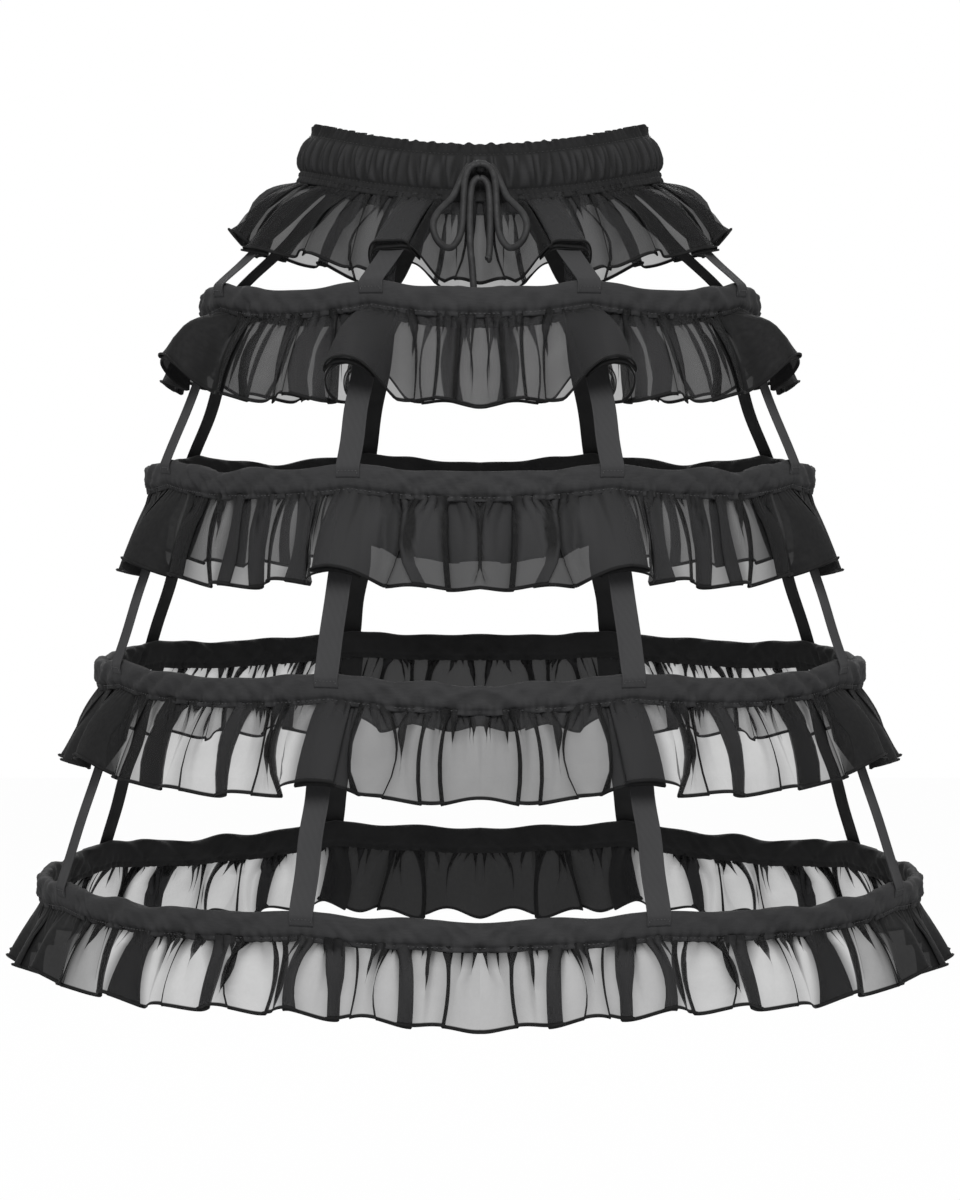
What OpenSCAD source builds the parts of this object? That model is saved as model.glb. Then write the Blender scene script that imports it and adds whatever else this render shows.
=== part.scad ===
// Crinoline cage: an elasticated waistband, four cased hoops with gathered ruffles, and the tapes
// that hang each hoop from the seam above it. The front faces -Y, the left of the picture is -X,
// and the origin is the middle of the waist opening at the height of the sides.

/* [Waist] */
// Half width of the waistband at mid height, side to side
waist_half_w = 129; // [115:1:160]
// Half depth of the waistband at mid height, front to back
waist_half_d = 101; // [85:1:125]
// How much further out the bottom edge of the waistband stands than its top edge
waist_flare = 10; // [0:1:20]
// How far the front and the back of the waist hang below its sides
waist_dip = 19; // [0:1:30]
// Height of the frill above the stitched line
header_h = 8; // [4:1:14]
// How far the top of the frill leans in from the stitched line
header_lean = 2; // [0:0.5:5]
// Width of the elastic inside the waistband
elastic_w = 24; // [16:1:34]
// Thickness of the elastic
elastic_t = 1.5; // [1:0.1:3]
// Height of the shirred strip below the elastic
waist_margin = 9; // [6:1:16]
// Number of gathers round the waistband
waist_gathers = 46; // [24:2:72]
// How far a gather stands out from the channel
gather_h = 3; // [1:0.5:5]

/* [Hoops] */
// Radius of the first hoop at the middle of its casing
hoop_1_r = 204; // [175:0.5:235]
// Radius of the second hoop
hoop_2_r = 245.5; // [215:0.5:275]
// Radius of the third hoop
hoop_3_r = 283.5; // [255:0.5:315]
// Radius of the fourth hoop
hoop_4_r = 326.5; // [295:0.5:360]
// Depth of the first hoop below the origin
hoop_1_drop = 110; // [95:1:130]
// Depth of the second hoop below the origin
hoop_2_drop = 238; // [215:1:265]
// Depth of the third hoop below the origin
hoop_3_drop = 382; // [360:1:420]
// Depth of the fourth hoop below the origin
hoop_4_drop = 540; // [510:1:590]

/* [Casings and bones] */
// Thickness of the waistband and casing cloth
cloth_t = 1; // [0.6:0.1:1.6]
// Thickness of a casing over its puffed cloth
casing_t = 9; // [7:0.5:14]
// Height of the sewn edge below a casing
lip_h = 3; // [2:0.5:6]
// Width of the flat bone in each casing
bone_h = 9; // [7:0.5:14]
// Thickness of the bone
bone_t = 1.8; // [1:0.1:2.5]
// Gap between the two ends of a bone at the centre back
bone_gap = 3; // [1:0.5:10]
// Length of the sleeve that joins the ends of a bone
sleeve_len = 40; // [25:1:60]
// Wall of the sleeve
sleeve_wall = 0.4; // [0.3:0.1:0.8]

/* [Tapes] */
// Width of a tape
tape_w = 18; // [10:0.5:24]
// Thickness of a tape
tape_t = 1; // [0.6:0.1:1.6]
// Angle of the front and back tapes from the centre line
front_tape_a = 21.5; // [16:0.5:28]
// Angle of the foremost side tapes from the centre front
side_front_a = 65.5; // [56:0.5:72]
// Angle of the hindmost side tapes from the centre back
side_back_a = 63; // [54:0.5:70]
// Length of tape lapped down the face of a casing
tape_lap = 10; // [5:0.5:14]

/* [Ruffles] */
// Thickness of the ruffle cloth
ruffle_t = 0.8; // [0.5:0.1:1.4]
// Height of ruffle and tape caught inside a seam
seam_h = 4; // [2:0.5:5]
// How far the flutes stand to either side of the ruffle at its hem
flute_h = 8; // [4:0.5:12]
// Width of the arch that a tape lifts in the waist ruffle, past each edge of the tape
ruffle_0_arch = 8; // [6:1:16]
// Width of the arch that a tape lifts in a hoop's ruffle, past each edge of the tape
hoop_ruffle_arch = 16; // [8:1:30]
// Cut depth of the waist ruffle
ruffle_0_depth = 60; // [40:1:80]
// Cut depth of the first hoop's ruffle
ruffle_1_depth = 62; // [40:1:80]
// Cut depth of the second hoop's ruffle
ruffle_2_depth = 61; // [40:1:80]
// Cut depth of the third hoop's ruffle
ruffle_3_depth = 61; // [40:1:80]
// Cut depth of the fourth hoop's ruffle
ruffle_4_depth = 50; // [40:1:80]
// Slope of the waist ruffle from upright at the front, in degrees
ruffle_0_front = 12; // [5:1:35]
// Slope of the waist ruffle from upright at the sides
ruffle_0_side = 50; // [30:1:60]
// Slope of the first hoop's ruffle at the front
ruffle_1_front = 14; // [5:1:35]
// Slope of the first hoop's ruffle at the sides
ruffle_1_side = 30; // [15:1:50]
// Slope of the second hoop's ruffle at the front
ruffle_2_front = 12; // [5:1:35]
// Slope of the second hoop's ruffle at the sides
ruffle_2_side = 16; // [10:1:40]
// Slope of the third hoop's ruffle at the front
ruffle_3_front = 20; // [5:1:40]
// Slope of the third hoop's ruffle at the sides
ruffle_3_side = 24; // [10:1:45]
// Slope of the fourth hoop's ruffle all round
ruffle_4_slope = 24; // [10:1:45]
// How much steeper than the tape the waist ruffle rides over it
ruffle_0_lift = 5; // [4:1:20]
// How much steeper than the tape the first hoop's ruffle rides over it
ruffle_1_lift = 24; // [4:1:40]
// How much steeper than the tape the second and third hoops' ruffles ride over it
ruffle_2_lift = 9; // [4:1:25]
// Height of the waist ruffle's flute on a tape, as a share of its other flutes
ruffle_0_crest = 0.6; // [0.4:0.1:1]
// Flutes of the waist ruffle between the two front tapes
ruffle_0_flutes = 3; // [2:1:5]
// Flutes of the first hoop's ruffle between the two front tapes
ruffle_1_flutes = 3; // [2:1:5]
// Flutes of the second hoop's ruffle between the two front tapes
ruffle_2_flutes = 4; // [2:1:6]
// Flutes of the third hoop's ruffle between the two front tapes
ruffle_3_flutes = 4; // [2:1:6]
// Flutes of the fourth hoop's ruffle between the two front tapes
ruffle_4_flutes = 5; // [2:1:7]

/* [Drawstring] */
// Diameter of the drawstring
cord_d = 4; // [3:0.5:5]
// Diameter of the bow's knot
bow_knot_d = 9; // [7:0.5:11]
// Diameter of the knot at the end of each tail
tail_knot_d = 6.5; // [5:0.5:8]

/* [Clearances] */
// Gap between cloth, tape and bone where they lie against each other
lay_gap = 0.3; // [0.2:0.05:0.4]
// Gap between a bone and its sleeve
sleeve_gap = 0.15; // [0.1:0.05:0.25]

/* [Hidden] */
hoops = [1 : 4];
hoop_r = [0, hoop_1_r, hoop_2_r, hoop_3_r, hoop_4_r];
hoop_z = [0, -hoop_1_drop, -hoop_2_drop, -hoop_3_drop, -hoop_4_drop];

// Ruffles are numbered like the hoops, with the waist as number 0.
ruffle_depth = [ruffle_0_depth, ruffle_1_depth, ruffle_2_depth, ruffle_3_depth, ruffle_4_depth];
ruffle_front = [ruffle_0_front, ruffle_1_front, ruffle_2_front, ruffle_3_front, ruffle_4_slope];
ruffle_side = [ruffle_0_side, ruffle_1_side, ruffle_2_side, ruffle_3_side, ruffle_4_slope];
ruffle_lift = [ruffle_0_lift, ruffle_1_lift, ruffle_2_lift, ruffle_2_lift];
ruffle_flutes = [ruffle_0_flutes, ruffle_1_flutes, ruffle_2_flutes, ruffle_3_flutes, ruffle_4_flutes];

// Tapes go round from the back left, by name and by angle from the centre front.
tape_names = ["back_left", "side_back_left", "side_front_left", "front_left",
    "front_right", "side_front_right", "side_back_right", "back_right"];
tape_angles = [front_tape_a - 180, side_back_a - 180, -side_front_a, -front_tape_a,
    front_tape_a, side_front_a, 180 - side_back_a, 180 - front_tape_a];
tapes = [0 : len(tape_angles) - 1];

// Places and heights across one flute, two on its crest and two in its trough, and one gather.
flute_columns = [[-0.125, 1], [0.125, 1], [0.375, -1], [0.625, -1]];
gather_columns = [[0, 1], [0.5, 0]];
elastic_columns = 48;
twist_steps = 5;

// The waistband from its top edge down: frill, stitched line, channel, shirred strip, bottom edge.
waist_h = header_h + cloth_t + 2 * lay_gap + elastic_w + waist_margin;
waist_top = waist_h / 2;
waist_stitch = waist_top - header_h;
elastic_top = waist_stitch - cloth_t - lay_gap;
elastic_mid = elastic_top - elastic_w / 2;
waist_bottom = -waist_h / 2;
elastic_bow = waist_half_w * (1 - cos(180 / elastic_columns));
channel_half = elastic_t / 2 + elastic_bow + lay_gap;

// A seam holds the ruffle outside its middle and the tape inside. A flat tape stands off a curve
// by its bow: more on the waist, which curves tightest at the sides, than on the first hoop.
waist_end_w = waist_half_w + waist_flare / 2;
waist_end_d = waist_half_d + waist_flare / 2;
waist_bow = tape_w * tape_w * waist_end_w / (8 * waist_end_d * waist_end_d);
hoop_bow = tape_w * tape_w / (8 * hoop_1_r);
ruffle_seat = lay_gap / 2 + ruffle_t / 2;
slit_out = lay_gap / 2 + ruffle_t + lay_gap;
waist_tape_seat = lay_gap + waist_bow + tape_t / 2;
hoop_tape_seat = lay_gap / 2 + hoop_bow + tape_t / 2;
waist_slit_in = waist_tape_seat + tape_t / 2 + lay_gap;
hoop_slit_in = hoop_tape_seat + tape_t / 2 + lay_gap;

// A casing is cut to the bone, with a half round of cloth above and below it.
casing_h = bone_h + casing_t;
sleeve_out = casing_t / 2 - cloth_t - lay_gap;
bone_out = sleeve_out - sleeve_wall - sleeve_gap;
bone_in = bone_out - bone_t;
sleeve_in = bone_in - sleeve_gap - sleeve_wall;
sleeve_h = bone_h + 2 * (sleeve_gap + sleeve_wall);

// The drawstring: a bow knot on the waistband, a drooping loop at each side, given for the left,
// and a tail under each loop, the left one longer.
bow_knot_route = [[-5, -112.5, -15], [-3.5, -112.5, -15], [-1.5, -112.5, -15], [1.5, -112.5, -15],
    [3.5, -112.5, -15], [5, -112.5, -15]];
bow_knot_shares = [0.75, 0.9, 1, 1, 0.9, 0.75];
bow_loop_route = [[-7.5, -113.5, -20], [-10, -115, -26], [-11.8, -116.5, -32],
    [-12.6, -118.5, -39], [-13, -121, -48], [-13.5, -124, -57], [-16, -127, -66], [-21, -130, -72],
    [-26.5, -132, -71], [-31, -133.5, -66], [-33, -134, -58], [-31, -131.5, -50], [-26.5, -126.5, -44],
    [-20.5, -120, -37.5], [-16.5, -116, -30], [-13.5, -114, -23], [-10.5, -113, -17.5],
    [-7.5, -112.5, -14]];
bow_tail_route = [[-2.2, -112.8, -19.9], [-2.6, -114.4, -25], [-4.5, -117.5, -32], [-6.5, -120.5, -40],
    [-8, -123.5, -50], [-8.5, -126.5, -60], [-8, -129.5, -71], [-7.5, -131.5, -79],
    [-7, -132.5, -83], [-6, -134.5, -93], [-5.2, -136, -102], [-5, -136.5, -106]];
long_tail = len(bow_tail_route);
short_tail = 9;

cord_sides = 8;
cloth_color = "#3f3f40";
chiffon_color = "#4a4a4c";
tape_color = "#464647";
cord_color = "#38383a";
bone_color = "#e6e4dc";
sleeve_color = "#a8a8a6";
elastic_color = "#202021";

function tape_node(k, t) = str("tape_", k, "_", tape_names[t]);

// Directions and places. Angles go round from the centre front, and o is a distance outwards.
function outwards(a) = [sin(a), -cos(a), 0];
function sideways(a) = [cos(a), sin(a), 0];
function waist_turn(a, o) = atan2(sin(a) / (waist_end_w + o), cos(a) / (waist_end_d + o));
function waist_dip_at(turn) = waist_dip * cos(turn) * cos(turn);
function waist_point(turn, o, h) = let (out = o - waist_flare * h / waist_h)
    [(waist_half_w + out) * sin(turn), -(waist_half_d + out) * cos(turn), h - waist_dip_at(turn)];
function waist_r(a, o) = 1 / norm([sin(a) / (waist_end_w + o), cos(a) / (waist_end_d + o)]);

// Where a ruffle or a tape comes out of the seam under the waistband or under a casing.
function seam_r(k, a, o) = k == 0 ? waist_r(a, o) : hoop_r[k] + o;
function seam_z(k, a, o) = (k == 0 ? waist_bottom - waist_dip_at(waist_turn(a, o))
    : hoop_z[k] - casing_h / 2 - lip_h) - lay_gap;
function seam_rise(k) = [k == 0 ? -waist_flare / waist_h : 0, 1];

// Meshes from rows of points: a ring closes on itself, and a run has a flat cap at each end.
// The far half of a section is split the other way, so that both faces of a cloth crease alike.
function grid_faces(rows, points, last) = [for (i = [0 : last], j = [0 : points - 1], half = [0, 1])
    let (a = i * points, b = ((i + 1) % rows) * points, n = (j + 1) % points)
    j < points / 2
        ? (half == 0 ? [a + j, b + j, b + n] : [a + j, b + n, a + n])
        : (half == 0 ? [a + j, b + j, a + n] : [b + j, b + n, a + n])];
module closed_ring(rows) {
    points = len(rows[0]);
    polyhedron([for (r = rows) each r], grid_faces(len(rows), points, len(rows) - 1));
}
module capped_run(rows) {
    points = len(rows[0]);
    first = [for (j = [0 : points - 1]) j];
    last = [for (j = [points - 1 : -1 : 0]) (len(rows) - 1) * points + j];
    polyhedron([for (r = rows) each r],
        concat(grid_faces(len(rows), points, len(rows) - 2), [first, last]));
}

// A round cord along a route, with the share of the full diameter at each point.
function route_way(p, i) = p[min(i + 1, len(p) - 1)] - p[max(i - 1, 0)];
function cord_rows(p, d, shares) = [for (i = [0 : len(p) - 1])
    let (way = route_way(p, i), side = cross(way, [0, 1, 0]), u = side / norm(side),
        up = cross(u, way), v = up / norm(up))
    [for (j = [0 : cord_sides - 1])
        p[i] + d * shares[i] / 2 * (u * cos(360 * j / cord_sides) - v * sin(360 * j / cord_sides))]];

// Waistband: a folded strip, open downwards between its two plies, gathered by the elastic.
function waist_section(w) = let (
    belly = channel_half + cloth_t + gather_h * (0.35 + 0.65 * w),
    wave = gather_h * (w - 0.5) / 2)
    [[cloth_t + wave - header_lean, waist_top], [cloth_t, waist_stitch], [belly, elastic_mid],
    [slit_out + cloth_t, waist_bottom], [slit_out, waist_bottom],
    [channel_half, elastic_top + lay_gap], [-channel_half, elastic_top + lay_gap],
    [-waist_slit_in, waist_bottom], [-waist_slit_in - cloth_t, waist_bottom],
    [-belly, elastic_mid], [-cloth_t, waist_stitch], [wave - cloth_t - header_lean, waist_top]];
module waistband() {
    rows = [for (g = [0 : waist_gathers - 1], c = gather_columns)
        let (turn = 360 * (g + c[0]) / waist_gathers)
        [for (q = waist_section(c[1])) waist_point(turn, q[0], q[1])]];
    color(cloth_color) closed_ring(rows);
}

module waist_elastic() {
    half = elastic_t / 2;
    low = elastic_top - elastic_w;
    section = [[half, elastic_top], [half, low], [-half, low], [-half, elastic_top]];
    rows = [for (i = [0 : elastic_columns - 1])
        [for (q = section) waist_point(360 * i / elastic_columns, q[0], q[1])]];
    color(elastic_color) closed_ring(rows);
}

module bow_side(tail_points) {
    loop_shares = [for (p = bow_loop_route) 1];
    tail = [for (i = [0 : tail_points - 1]) bow_tail_route[i]];
    end_share = tail_knot_d / cord_d;
    tail_shares = [for (i = [1 : tail_points]) i < tail_points - 1 ? 1 : end_share];
    capped_run(cord_rows(bow_loop_route, cord_d, loop_shares));
    capped_run(cord_rows(tail, cord_d, tail_shares));
}
module drawstring() {
    color(cord_color) {
        capped_run(cord_rows(bow_knot_route, bow_knot_d, bow_knot_shares));
        bow_side(long_tail);
        mirror([1, 0, 0]) bow_side(short_tail);
    }
}

// Casing: a tube of cloth over the bone, slit along the bottom between two sewn lips.
module round_slot(height, thickness) {
    straight = height - thickness;
    square([thickness, straight], center = true);
    for (end = [-0.5, 0.5]) translate([0, end * straight]) circle(d = thickness, $fn = 48);
}
module casing_section() {
    lip_low = -casing_h / 2 - lip_h;
    lip_top = -bone_h / 2;
    difference() {
        union() {
            round_slot(casing_h, casing_t);
            translate([-hoop_slit_in - cloth_t, lip_low])
                square([hoop_slit_in + slit_out + 2 * cloth_t, lip_top - lip_low]);
        }
        round_slot(casing_h - 2 * cloth_t, casing_t - 2 * cloth_t);
        translate([-hoop_slit_in, lip_low - cloth_t])
            square([hoop_slit_in + slit_out, lip_top - lip_low + cloth_t]);
    }
}
module hoop_casing(k) {
    color(cloth_color) translate([0, 0, hoop_z[k]])
        rotate_extrude($fn = 180) translate([hoop_r[k], 0]) casing_section();
}

// Bone: a flat strip bent round, with its two ends in a sleeve at the centre back.
module hoop_bone(k) {
    gap_a = bone_gap / (hoop_r[k] + bone_in) * 180 / PI;
    color(bone_color) translate([0, 0, hoop_z[k]]) rotate([0, 0, 90 + gap_a / 2])
        rotate_extrude(angle = 360 - gap_a, $fn = 180)
            translate([hoop_r[k] + bone_in, -bone_h / 2]) square([bone_t, bone_h]);
}
module hoop_connector(k) {
    arc = sleeve_len / (hoop_r[k] + sleeve_out) * 180 / PI;
    color(sleeve_color) translate([0, 0, hoop_z[k]]) rotate([0, 0, 90 - arc / 2])
        rotate_extrude(angle = arc, $fn = 180) difference() {
            translate([hoop_r[k] + sleeve_in, -sleeve_h / 2])
                square([sleeve_out - sleeve_in, sleeve_h]);
            translate([hoop_r[k] + bone_in - sleeve_gap, -bone_h / 2 - sleeve_gap])
                square([bone_t + 2 * sleeve_gap, bone_h + 2 * sleeve_gap]);
        }
}

// Tape k hangs hoop k from the seam above it. Its way, as radius and height: up in the seam,
// straight to the round shoulder of the casing, over it and down the face.
tape_ride = casing_t / 2 + lay_gap + tape_t / 2;
waist_tilt = waist_dip * tape_w / (2 * waist_end_d);
function tape_top(k, a) = let (o = k == 1 ? -waist_tape_seat : -hoop_tape_seat)
    [seam_r(k - 1, a, o), seam_z(k - 1, a, o)] - seam_rise(k - 1) * (k == 1 ? waist_tilt : 0);
function shoulder(k) = [hoop_r[k], hoop_z[k] + bone_h / 2];
function tape_slope(k, a) = let (span = shoulder(k) - tape_top(k, a))
    atan2(span[0], -span[1]) + asin(tape_ride / norm(span));
function tape_way(k, a) = let (top = tape_top(k, a), c = shoulder(k), slope = tape_slope(k, a))
    concat([top + seam_rise(k - 1) * seam_h, top],
        [for (s = [1, 0.5, 0]) c + tape_ride * [cos(slope * s), sin(slope * s)]],
        [c + [tape_ride, -tape_lap]]);

function along(p, i) = (p[i + 1] - p[i]) / norm(p[i + 1] - p[i]);
function edge_of(p, i) = let (
    before = along(p, max(i - 1, 0)), after = along(p, min(i, len(p) - 2)),
    mean = (before + after) / norm(before + after))
    [mean[1], -mean[0]] / (mean * before);
module flat_tape(k, a) {
    way = tape_way(k, a);
    outer = [for (i = [0 : len(way) - 1]) way[i] + edge_of(way, i) * tape_t / 2];
    inner = [for (i = [len(way) - 1 : -1 : 0]) way[i] - edge_of(way, i) * tape_t / 2];
    rotate([90, 0, a - 90]) linear_extrude(height = tape_w, center = true)
        polygon(concat(outer, inner));
}

// A tape from the waist also turns, from square to the oval waist to square to the round hoop.
function waist_facing(a) = let (turn = waist_turn(a, -waist_tape_seat))
    atan2(sin(turn) * (waist_end_d - waist_tape_seat), cos(turn) * (waist_end_w - waist_tape_seat));
module turned_tape(a) {
    way = tape_way(1, a);
    fine = concat([way[0]],
        [for (s = [0 : twist_steps]) way[1] + (way[2] - way[1]) * s / twist_steps],
        [for (i = [3 : len(way) - 1]) way[i]]);
    rows = [for (i = [0 : len(fine) - 1]) let (
            share = min(max((i - 1) / twist_steps, 0), 1),
            facing = waist_facing(a) + (a - waist_facing(a)) * share,
            rise = route_way(fine, i),
            step = outwards(a) * rise[0] + [0, 0, rise[1]],
            u = sideways(facing) * tape_w / 2,
            thick = cross(step, u),
            v = thick / norm(thick) * tape_t / 2,
            c = outwards(a) * fine[i][0] + [0, 0, fine[i][1]])
        [c + u + v, c - u + v, c - u - v, c + u - v]];
    capped_run(rows);
}
module tape(k, t) {
    color(tape_color) if (k == 1) turned_tape(tape_angles[t]);
        else flat_tape(k, tape_angles[t]);
}

// Ruffle: gathered into the seam and fluted at its hem, with a crest on every tape that it hangs
// over. It slopes more at the sides, and rides up where a tape pushes it out.
function tape_off(k, a) = min([for (t = tape_angles)
    let (turn = abs(a - t), off = min(turn, 360 - turn)) seam_r(k, a, 0) * off * PI / 180]);
function tape_under(k, a) = max([for (t = tape_angles)
    let (turn = abs(a - t), off = min(turn, 360 - turn)) off < front_tape_a ? tape_slope(k + 1, t) : 0]);
function tape_share(k, a) = let (arch = k == 0 ? ruffle_0_arch : hoop_ruffle_arch)
    k < 4 ? min(max(1 - (tape_off(k, a) - tape_w / 2) / arch, 0), 1) : 0;
function ruffle_slope(k, a) = let (
    plain = ruffle_front[k] + (ruffle_side[k] - ruffle_front[k]) * sin(a) * sin(a),
    ridden = k < 4 ? max(plain, tape_under(k, a) + ruffle_lift[k]) : plain)
    plain + (ridden - plain) * tape_share(k, a);
function bay(t) = (t < len(tape_angles) - 1 ? tape_angles[t + 1] : tape_angles[0] + 360) - tape_angles[t];
function bay_flutes(k, t) = max(round(ruffle_flutes[k] * bay(t) / (2 * front_tape_a)), 1);
function ruffle_column(k, a, wave) = let (
    slope = ruffle_slope(k, a),
    down = [sin(slope), -cos(slope)],
    out = [cos(slope), sin(slope)],
    root = [seam_r(k, a, ruffle_seat), seam_z(k, a, ruffle_seat)],
    top = root + seam_rise(k) * seam_h,
    crest = wave + ((k == 0 ? ruffle_0_crest : 1) - wave) * tape_share(k, a),
    hem = root + down * ruffle_depth[k] + out * flute_h * crest,
    flat = [ruffle_t / 2, 0],
    thick = out * ruffle_t / 2)
    [for (q = [top + flat, root + flat, hem + thick, hem - thick, root - flat, top - flat])
        outwards(a) * q[0] + [0, 0, q[1]]];
module ruffle(k) {
    rows = [for (t = tapes, f = [0 : bay_flutes(k, t) - 1], c = flute_columns)
        ruffle_column(k, tape_angles[t] + bay(t) * (f + c[0]) / bay_flutes(k, t), c[1])];
    color(chiffon_color) closed_ring(rows);
}

waistband();
waist_elastic();
drawstring();
ruffle(0);  // top_ruffle
for (k = hoops) {
    hoop_casing(k);
    hoop_bone(k);
    hoop_connector(k);
    ruffle(k);
    for (t = tapes) tape(k, t);
}
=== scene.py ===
import math
import bmesh
import bpy
import numpy as np
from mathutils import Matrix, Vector


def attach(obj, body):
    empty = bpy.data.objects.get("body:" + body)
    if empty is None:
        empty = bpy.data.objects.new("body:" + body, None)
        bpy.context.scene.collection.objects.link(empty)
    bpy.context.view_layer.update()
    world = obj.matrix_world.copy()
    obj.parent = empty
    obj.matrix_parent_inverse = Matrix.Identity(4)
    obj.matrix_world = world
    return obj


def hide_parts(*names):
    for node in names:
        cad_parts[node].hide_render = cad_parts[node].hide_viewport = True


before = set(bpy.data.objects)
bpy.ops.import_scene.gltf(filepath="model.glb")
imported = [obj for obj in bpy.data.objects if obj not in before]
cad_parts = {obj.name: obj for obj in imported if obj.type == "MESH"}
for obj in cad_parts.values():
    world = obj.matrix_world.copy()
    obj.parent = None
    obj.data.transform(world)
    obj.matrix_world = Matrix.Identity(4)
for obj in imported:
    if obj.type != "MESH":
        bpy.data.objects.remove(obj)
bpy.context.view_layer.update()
print("frame loaded:", len(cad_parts), "nodes")

mm = 0.001
scene = bpy.context.scene
scene.view_settings.view_transform = "Standard"
scene.cycles.transparent_max_bounces = 32  # sheer cloth hangs in many layers


# camera

camera = {"lens": 123.0, "place": (0.0, -3.073, -0.183), "pitch": 2.79}


def setCamera():
    data = bpy.data.cameras.new("camera")
    data.lens = camera["lens"]
    data.sensor_width = 36.0
    data.clip_end = 50.0
    shot = bpy.data.objects.new("camera", data)
    shot.location = camera["place"]
    shot.rotation_euler = (math.radians(90.0 - camera["pitch"]), 0.0, 0.0)
    scene.collection.objects.link(shot)
    scene.camera = shot


setCamera()
print("camera set")


# shader writing

class Wire:
    def __init__(self, tree, socket):
        self.tree = tree
        self.socket = socket

    def calc(self, operation, first, second):
        node = self.tree.nodes.new("ShaderNodeMath")
        node.operation = operation
        for place, value in enumerate((first, second)):
            if isinstance(value, Wire):
                self.tree.links.new(value.socket, node.inputs[place])
            else:
                node.inputs[place].default_value = value
        return Wire(self.tree, node.outputs[0])

    def __add__(self, other):
        return self.calc("ADD", self, other)

    def __sub__(self, other):
        return self.calc("SUBTRACT", self, other)

    def __rsub__(self, other):
        return self.calc("SUBTRACT", other, self)

    def __mul__(self, other):
        return self.calc("MULTIPLY", self, other)


class Finish:
    def __init__(self, name, kind="Material"):
        self.owner = (bpy.data.worlds if kind == "World" else bpy.data.materials).new(name)
        self.owner.use_nodes = True
        self.tree = self.owner.node_tree
        self.tree.nodes.clear()
        self.output = self.node("Output" + kind)

    def node(self, kind, settings=None, **sockets):
        made = self.tree.nodes.new("ShaderNode" + kind)
        for name, value in (settings or {}).items():
            setattr(made, name, value)
        for name, value in sockets.items():
            socket = self.find(made, name)
            if isinstance(value, Wire):
                self.tree.links.new(value.socket, socket)
            else:
                socket.default_value = value
        return made

    def find(self, made, name):
        plain = name.replace("_", " ").lower()
        return next(s for s in made.inputs if s.enabled and s.name.lower() == plain)

    def wire(self, made, name=None):
        return Wire(self.tree, next(s for s in made.outputs if s.enabled and name in (None, s.name)))

    def coords(self, kind):
        return self.wire(self.node("TexCoord"), kind)

    def attribute(self, name):
        return self.wire(self.node("Attribute", {"attribute_name": name}), "Fac")

    def noise(self, place, scale, detail=2.0, roughness=0.5):
        return self.wire(self.node("TexNoise", Vector=place, Scale=scale, Detail=detail, Roughness=roughness), "Fac")

    def wave(self, place, scale, direction, distortion=0.0):
        settings = {"wave_type": "BANDS", "bands_direction": direction, "wave_profile": "SIN"}
        return self.wire(self.node("TexWave", settings, Vector=place, Scale=scale, Distortion=distortion), "Fac")

    def mapped(self, place, scale, turn=0.0):
        return self.wire(self.node("Mapping", Vector=place, Scale=scale, Rotation=(0.0, 0.0, turn)))

    def blend(self, share, first, second):
        return self.wire(self.node("Mix", {"data_type": "RGBA"}, Factor=share, A=first, B=second), "Result")

    def spread(self, value, low, high, start, end):
        return self.wire(self.node("MapRange", Value=value, From_Min=low, From_Max=high, To_Min=start, To_Max=end))

    def ranged(self, noise, start, end):  # for a noise, which mostly stays near its middle
        return self.spread(noise, 0.3, 0.7, start, end)

    def clamped(self, value):
        return self.wire(self.node("Clamp", Value=value))

    def bump(self, height, strength, distance):
        return self.wire(self.node("Bump", Height=height, Strength=strength, Distance=distance))

    def show(self, shader):
        self.tree.links.new(shader.outputs[0], self.output.inputs["Surface"])
        return self.owner

    def surface(self, **sockets):
        return self.show(self.node("BsdfPrincipled", **sockets))

    def splitRays(self, lighting, looking, share):
        # one shader for the rays that only carry light, and this share of another for those that are looked along
        rays = self.node("LightPath")
        direct, glossy, through = (self.wire(rays, "Is %s Ray" % kind) for kind in ("Camera", "Glossy", "Transmission"))
        mix = self.node("MixShader")
        parts = ((self.clamped(direct + glossy + through) * share).socket, lighting.outputs[0], looking.outputs[0])
        for part, socket in zip(parts, mix.inputs):
            self.tree.links.new(part, socket)
        return self.show(mix)


white = (1.0, 1.0, 1.0, 1.0)


def grey(level):
    return (level, level, level * 1.03, 1.0)


# the 'wrong' entry is the dark tone of the painted shade, not a different back of the cloth
cottonLook = {"face": 0.032, "shadeTone": 0.007, "crease": 0.022, "pitch": 0.45 * mm}


def cottonFinish():
    f = Finish("blackCotton")
    place = f.coords("Object")
    inside = f.attribute("inside")
    weave = f.wave(place, 1.0 / (cottonLook["pitch"] * 10), "DIAGONAL", 2.0)
    cloud = f.noise(place, 38.0, 3.0, 0.6)
    slub = f.noise(f.mapped(place, (160.0, 160.0, 900.0)), 1.0, 2.0)
    tone = f.blend(f.ranged(cloud, 0.0, 1.0), grey(cottonLook["crease"]), grey(cottonLook["face"]))
    tone = f.blend(f.spread(slub, 0.35, 0.65, 0.0, 0.3), tone, grey(cottonLook["face"] * 1.25))
    # painted shade: this share darkens the cotton toward the dark tone on inner faces, in wrinkle and gather valleys
    # and over the waistband
    tone = f.blend(inside, tone, grey(cottonLook["shadeTone"]))
    height = weave * 0.15 + slub * 0.3 + cloud * 0.6
    return f.surface(Base_Color=tone, Roughness=f.ranged(cloud, 0.82, 0.95),
                     Normal=f.bump(height, 0.3, 0.4 * mm), Specular_IOR_Level=0.25)


# dark: the tone of the painted shade in folds, at the sides and at the centre back
chiffonLook = {"face": 0.028, "dark": 0.005, "grain": 0.10}


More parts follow.
